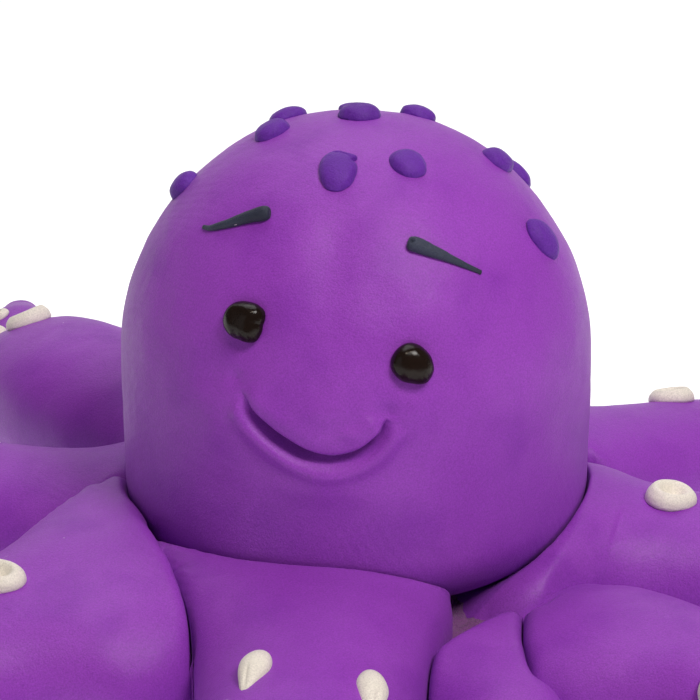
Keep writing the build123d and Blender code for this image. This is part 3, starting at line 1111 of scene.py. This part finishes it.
def make_arm_skin(arm, number):
    """One skin from the hub to the tip, curving away past the knuckle."""
    rings, around = settings().arm_rings, settings().arm_segments
    places = ring_places(arm, rings - HUB_RINGS - TIP_RINGS)
    end = arm.reach + arm.length
    _, _, tip_top, tip_rise = arm_size(arm, end)
    tip = (tip_top - tip_rise) / 2
    bm = bmesh.new()
    bmesh.ops.create_uvsphere(bm, u_segments=around, v_segments=rings, radius=1.0)
    for vert in bm.verts:
        ring = round((math.asin(clamp(vert.co.z, -1, 1)) / math.pi + 0.5) * rings)
        turn = math.atan2(vert.co.y, vert.co.x)
        if ring < HUB_RINGS:
            along, shrink = ROOT_START, math.sin(ring / HUB_RINGS * math.pi / 2)
        elif ring > rings - TIP_RINGS:
            cap = (ring - (rings - TIP_RINGS)) / TIP_RINGS * math.pi / 2
            along, shrink = end + tip * math.sin(cap), max(math.cos(cap), 0.0)
        else:
            along, shrink = places[ring - HUB_RINGS], 1.0
        vert.co = arm_skin_point(arm, along, turn, shrink, 10 * number)
    # The top of the root, where the head's underside has been pressed into it.
    moulded = [vert for vert in bm.verts if 14 < vert.co.xy.length < 32 and vert.co.z > 9.5]
    for _ in range(SMOOTH_ROUNDS):
        bmesh.ops.smooth_vert(
            bm, verts=moulded, factor=0.5, use_axis_x=True, use_axis_y=True, use_axis_z=True)
    piece = place_mesh(f"arm_{arm.name}_skin", bm, purple_clay())
    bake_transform(piece)
    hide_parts(f"arm_{arm.name}_root", f"arm_{arm.name}")


# ---- the suckers -----------------------------------------------------------------------
# For each arm: (distance from the axis, turn round the section from its top line, size).
# A fourth number makes a long drop of clay instead of a cup, with its tail turned that far.
SUCKERS = {
    "front": [(48.4, -24, 1.0, -9), (48.0, 43, 1.0, 14), (59, -34, 0.96), (62, 32, 0.94),
              (71, -34, 0.84), (74, 32, 0.8), (82, -32, 0.66), (85, 30, 0.62)],
    "front_left": [(49.8, -2, 1.08), (60, 38, 0.96), (62, -24, 0.94), (71, 36, 0.86), (73, -26, 0.84),
                   (81, 34, 0.74), (84, -30, 0.68), (90, 32, 0.58)],
    "left": [(52, -30, 0.98), (55, 32, 0.98), (64, -32, 0.9), (67, 32, 0.88), (76, -32, 0.76),
             (79, 32, 0.72), (87, -30, 0.6), (89, 30, 0.58)],
    "back_left": [(74, 16, 1.05), (86, 38, 0.72), (90, -34, 0.64), (96, 36, 0.56)],
    "back_right": [(54, 28, 0.98), (60, -34, 0.94), (62, 30, 0.92), (72, -34, 0.84), (74, 30, 0.8),
                   (84, -32, 0.68), (86, 30, 0.64)],
    "right": [(38.2, -2, 1.05), (44, 34, 0.98), (52, -34, 0.96), (56, 30, 0.94), (64, -34, 0.9),
              (67, 32, 0.86), (76, -32, 0.76), (79, 30, 0.72), (87, -30, 0.6)],
    "front_right": [(61, -34, 0.92), (63, 30, 0.9), (71, -34, 0.82), (74, 32, 0.78), (81, -32, 0.68),
                    (84, 30, 0.64), (90, -28, 0.56)],
    "tucked": [(55, -30, 0.8), (58, 32, 0.78), (65, -30, 0.7), (68, 30, 0.66), (75, -28, 0.58),
               (78, 28, 0.54)],
}
SUCKER_RADIUS = 2.85


def skin_frame(arm, along, tilt, seed):
    """A matrix on the arm's skin with z straight out of the clay and x towards the tip."""
    turn = math.radians(90 - tilt)

    def skin_at(step, twist):
        return arm_skin_point(arm, along + step, turn + twist, 1.0, seed)

    here = skin_at(0, 0)
    ahead = skin_at(1.5, 0) - skin_at(-1.5, 0)
    across = skin_at(0, 0.14) - skin_at(0, -0.14)
    out = ahead.cross(across).normalized()
    if out.z < 0:
        out = -out
    forward = (ahead - out * ahead.dot(out)).normalized()
    side = out.cross(forward)
    return Matrix.Translation(here) @ Matrix((forward, side, out)).transposed().to_4x4()


def make_drop(whole, place, seed):
    """A long drop of cream clay: a round head and a thinner tail along its x axis."""
    made = bmesh.ops.create_uvsphere(whole, u_segments=40, v_segments=28, radius=1.0)
    for vert in made["verts"]:
        direction = vert.co.normalized()
        thin = 1 - 0.42 * ease((direction.x + 0.35) / 1.2)
        groove = 0.22 * hump(direction.y, 0.3) * ease(direction.x * 2.5)
        x = direction.x * 3.7 + 1.4
        y = direction.y * 2.0 * thin * (1 + 0.06 * lumps(direction, 0.6, seed))
        z = direction.z * (1.75 * thin - groove) if direction.z > 0 else direction.z
        vert.co = place @ Vector((x, y, z - 0.012 * x * x))


def make_suckers(arm, number):
    """Balls of cream clay pressed on with a tool, so each has a thick rolled rim."""
    whole = bmesh.new()
    for count, (along, tilt, size, *tail) in enumerate(SUCKERS[arm.name]):
        place = skin_frame(arm, along, tilt, 10 * number)
        seed = number * 20 + count
        if tail:
            make_drop(whole, place @ Matrix.Rotation(math.radians(tail[0]), 4, "Z"), seed)
            continue
        made = bmesh.ops.create_uvsphere(whole, u_segments=40, v_segments=28, radius=1.0)
        radius = SUCKER_RADIUS * size
        for vert in made["verts"]:
            direction = vert.co.normalized()
            level = math.hypot(direction.x, direction.y)
            turn = math.atan2(direction.y, direction.x)
            uneven = lumps((math.cos(turn), math.sin(turn), 0), 0.8, seed)
            stretch = 1 + 0.1 * math.cos(2 * (turn - seed)) + 0.05 * uneven
            x = math.cos(turn) * level * radius * stretch
            y = math.sin(turn) * level * radius * stretch
            if direction.z > 0:
                rim = math.exp(-((level - 0.66) / 0.3) ** 2)
                bowl = math.exp(-((level / 0.42) ** 2))
                z = size * (1.0 * direction.z**0.6 + 0.85 * rim * ease(direction.z * 3) - 1.0 * bowl)
                z *= 1 + 0.14 * math.cos(turn - seed * 1.7)
            else:
                z = direction.z * 1.1 * size
                x *= 1 + 0.2 * direction.z
                y *= 1 + 0.2 * direction.z
            vert.co = place @ Vector((x, y, z))
    piece = place_mesh(f"suckers_{arm.name}_skin", whole, cream_clay())
    show_as(piece, f"arm_{arm.name}", "clay_cream", f"suckers_{arm.name}")


# ---- the hub ---------------------------------------------------------------------------
# The height of the hub's middle, and how far it rises and drops from there.
HUB_MIDDLE, HUB_RISE, HUB_DROP = 6.0, 5.2, 5.95


def make_hub():
    """The rough lump that the arms are pressed onto; it shows where two arms part."""
    bm = bmesh.new()
    bmesh.ops.create_uvsphere(bm, u_segments=320, v_segments=120, radius=1.0)
    for vert in bm.verts:
        direction = vert.co.normalized()
        heading = heading_of(direction)
        level = math.hypot(direction.x, direction.y)
        spread = 30.6 + 3.4 * hump(turn_between(heading, 24), 20)
        wide = spread if direction.z > -0.25 else mix(12.0, spread, ease((direction.z + 0.6) / 0.35))
        reach = wide * level ** 0.75
        half = HUB_RISE if direction.z > 0 else HUB_DROP
        z = HUB_MIDDLE + half * math.copysign(abs(direction.z) ** 0.6, direction.z)
        point = outward(heading) * reach + Vector((0, 0, z))
        torn = 0.7 * lumps(point, 2.4, 71) + 0.55 * lumps(point, 1.1, 72) + 0.3 * lumps(point, 0.6, 73)
        point.z += torn if direction.z > 0 else 0.15 * torn
        point.z = clamp(point.z, 0.03, HEAD_BOTTOM - HEAD_GAP)
        vert.co = point
    piece = place_mesh("hub_skin", bm, rough_clay())
    show_as(piece, "core", "clay_purple", "hub")


# ---- the stage -------------------------------------------------------------------------
def make_backdrop():
    """A pale table that sweeps up behind into a wall."""
    bm = bmesh.new()
    run = [bm.edges.new([bm.verts.new((x, -1.6, 0)) for x in (-1.5, 1.5)])]
    turns = [step * math.pi / 24 for step in range(13)]
    bends = [(1.2 + 0.5 * math.sin(turn), 0.5 - 0.5 * math.cos(turn)) for turn in turns]
    for y, z in [*bends, (1.7, 2.6)]:
        made = bmesh.ops.extrude_edge_only(bm, edges=run)["geom"]
        for vert in (item for item in made if isinstance(item, bmesh.types.BMVert)):
            vert.co = (vert.co.x, y, z)
        run = [item for item in made if isinstance(item, bmesh.types.BMEdge)]
    bmesh.ops.recalc_face_normals(bm, faces=bm.faces)
    backdrop = mesh_object("backdrop", bm, white_paper())


CAMERA_PLACE = (-0.000778, -0.3526, 0.17768)
CAMERA_AIM = (-0.000778, -0.000269, 0.035334)
LENS_LENGTH, SENSOR_WIDTH = 163.2, 36
LIGHT_AIM = (0, 0, 0.03)


def point_at(thing, place, aim):
    """Puts a camera or lamp at a place and points it at another."""
    thing.location = place
    thing.rotation_euler = (Vector(aim) - Vector(place)).to_track_quat("-Z", "Y").to_euler()


def add_area(name, place, size, power, colour):
    """A rectangular softbox that points at the figure."""
    light = bpy.data.lights.new(name, "AREA")
    light.shape = "RECTANGLE"
    light.size, light.size_y = size
    light.energy = power
    light.color = colour
    lamp = bpy.data.objects.new(name, light)
    point_at(lamp, place, LIGHT_AIM)
    bpy.context.scene.collection.objects.link(lamp)


def make_studio():
    scene = bpy.context.scene
    choice = settings()
    lens = bpy.data.cameras.new("studio_camera")
    lens.lens = LENS_LENGTH
    lens.sensor_width = SENSOR_WIDTH
    lens.clip_start = 0.01
    camera = bpy.data.objects.new("studio_camera", lens)
    point_at(camera, CAMERA_PLACE, CAMERA_AIM)
    scene.collection.objects.link(camera)
    scene.camera = camera
    key = choice.key_power
    add_area("key_softbox", (0.3, -0.36, 0.66), (0.24, 0.24), key, (1.0, 0.97, 0.93))
    add_area("fill_softbox", (-0.6, -0.5, 0.3), (0.5, 0.5), key * 0.07, (0.94, 0.96, 1.0))
    add_area("top_softbox", (-0.05, 0.35, 0.8), (0.6, 0.5), key * 0.6, (0.97, 0.97, 1.0))
    add_area("spark_lamp", (0.0, -0.3, 0.7), (0.05, 0.05), key * 0.2, (1.0, 0.88, 0.7))
    world = bpy.data.worlds.new("Pale studio")
    scene.world = world
    world.use_nodes = True
    background = world.node_tree.nodes["Background"]
    background.inputs["Color"].default_value = (0.95, 0.96, 1.0, 1)
    background.inputs["Strength"].default_value = choice.room_light
    scene.view_settings.view_transform = "Standard"
    scene.view_settings.look = "None"
    scene.view_settings.exposure = 0.0


# ---- settings, operators and panel -----------------------------------------------------
class ClayOctopusSettings(bpy.types.PropertyGroup):
    """Sizes and colours that a user would change."""

    clay_colour: FloatVectorProperty(
        name="Clay", description="Colour of the head and arms", subtype="COLOR", size=3, min=0, max=1,
        default=(0.272, 0.041, 0.45),
    )
    dot_colour: FloatVectorProperty(
        name="Dots", description="Colour of the dots on the head", subtype="COLOR", size=3, min=0, max=1,
        default=(0.118, 0.018, 0.315),
    )
    sucker_colour: FloatVectorProperty(
        name="Suckers", description="Colour of the suckers", subtype="COLOR", size=3, min=0, max=1,
        default=(0.8, 0.745, 0.665),
    )
    arm_rings: IntProperty(
        name="Arm rings", description="Rings along each arm's skin", default=216, min=60, max=400,
    )
    arm_segments: IntProperty(
        name="Arm segments", description="Faces round each arm's skin", default=120, min=32, max=256,
    )
    key_power: FloatProperty(
        name="Key light", description="Power of the main softbox in watts", default=3.8, min=0, max=500,
    )
    room_light: FloatProperty(
        name="Room light", description="Brightness of the pale room", default=0.1, min=0, max=5,
    )


class CLAY_OT_head(bpy.types.Operator):
    """Model the domed head with its pressed smile and finger dents"""

    bl_idname = "clay_octopus.head"
    bl_label = "Head"

    def execute(self, context):
        show_as(make_head_skin(), "head", "clay_purple", "head_clay")
        return {"FINISHED"}


class CLAY_OT_dots(bpy.types.Operator):
    """Press the dots onto the top of the head"""

    bl_idname = "clay_octopus.dots"
    bl_label = "Dots"

    def execute(self, context):
        for number in range(1, len(DOT_SHAPES) + 1):
            make_dot(number)
        return {"FINISHED"}


class CLAY_OT_eyes(bpy.types.Operator):
    """Set the two glossy eyes"""

    bl_idname = "clay_octopus.eyes"
    bl_label = "Eyes"

    def execute(self, context):
        for name in EYE_OUTLINES:
            make_eye(name)
        return {"FINISHED"}


class CLAY_OT_brows(bpy.types.Operator):
    """Lay the two tapered brows"""

    bl_idname = "clay_octopus.brows"
    bl_label = "Brows"

    def execute(self, context):
        for name in BROW_LINES:
            make_brow(name)
        return {"FINISHED"}


class CLAY_OT_arms(bpy.types.Operator):
    """Model the eight arms, pressed together under the head"""

    bl_idname = "clay_octopus.arms"
    bl_label = "Arms"

    def execute(self, context):
        for number, arm in enumerate(ARMS, 1):
            make_arm_skin(arm, number)
        return {"FINISHED"}


class CLAY_OT_suckers(bpy.types.Operator):
    """Press the cupped suckers onto the arms"""

    bl_idname = "clay_octopus.suckers"
    bl_label = "Suckers"

    def execute(self, context):
        for number, arm in enumerate(ARMS, 1):
            make_suckers(arm, number)
        return {"FINISHED"}


class CLAY_OT_hub(bpy.types.Operator):
    """Model the rough hub under the head"""

    bl_idname = "clay_octopus.hub"
    bl_label = "Hub"

    def execute(self, context):
        make_hub()
        return {"FINISHED"}


class CLAY_OT_armature(bpy.types.Operator):
    """Finish the hidden core, peg and wires that come from the frame"""

    bl_idname = "clay_octopus.armature"
    bl_label = "Core, peg and wires"

    def execute(self, context):
        paint_nodes(["head_core"], foam())
        paint_nodes(["neck_peg"], beech())
        paint_nodes(["armature_spider"] + [f"wire_{arm.name}" for arm in ARMS], drawn_wire())
        return {"FINISHED"}


class CLAY_OT_stage(bpy.types.Operator):
    """Set up the pale table, the softboxes and the camera"""

    bl_idname = "clay_octopus.stage"
    bl_label = "Stage"

    def execute(self, context):
        make_backdrop()
        make_studio()
        return {"FINISHED"}


PIECE_OPERATORS = (
    CLAY_OT_stage, CLAY_OT_head, CLAY_OT_dots, CLAY_OT_eyes, CLAY_OT_brows,
    CLAY_OT_arms, CLAY_OT_suckers, CLAY_OT_hub, CLAY_OT_armature,
)


class CLAY_PT_panel(bpy.types.Panel):
    """Lists the settings and the pieces"""

    bl_idname = "CLAY_PT_panel"
    bl_label = "Clay Octopus"
    bl_space_type = "VIEW_3D"
    bl_region_type = "UI"
    bl_category = "Octopus"

    def draw(self, context):
        layout = self.layout
        for name in ClayOctopusSettings.__annotations__:
            layout.prop(context.scene.clay_octopus, name)
        for operator in PIECE_OPERATORS:
            layout.operator(operator.bl_idname)


CLASSES = (ClayOctopusSettings, *PIECE_OPERATORS, CLAY_PT_panel)


def register():
    for made in CLASSES:
        bpy.utils.register_class(made)
    bpy.types.Scene.clay_octopus = PointerProperty(type=ClayOctopusSettings)


def unregister():
    del bpy.types.Scene.clay_octopus
    for made in reversed(CLASSES):
        bpy.utils.unregister_class(made)


def main():
    register()
    bpy.ops.clay_octopus.stage()
    bpy.ops.clay_octopus.head()
    bpy.ops.clay_octopus.dots()
    bpy.ops.clay_octopus.eyes()
    bpy.ops.clay_octopus.brows()
    bpy.ops.clay_octopus.arms()
    bpy.ops.clay_octopus.suckers()
    bpy.ops.clay_octopus.hub()
    bpy.ops.clay_octopus.armature()


if __name__ == "__main__":
    main()
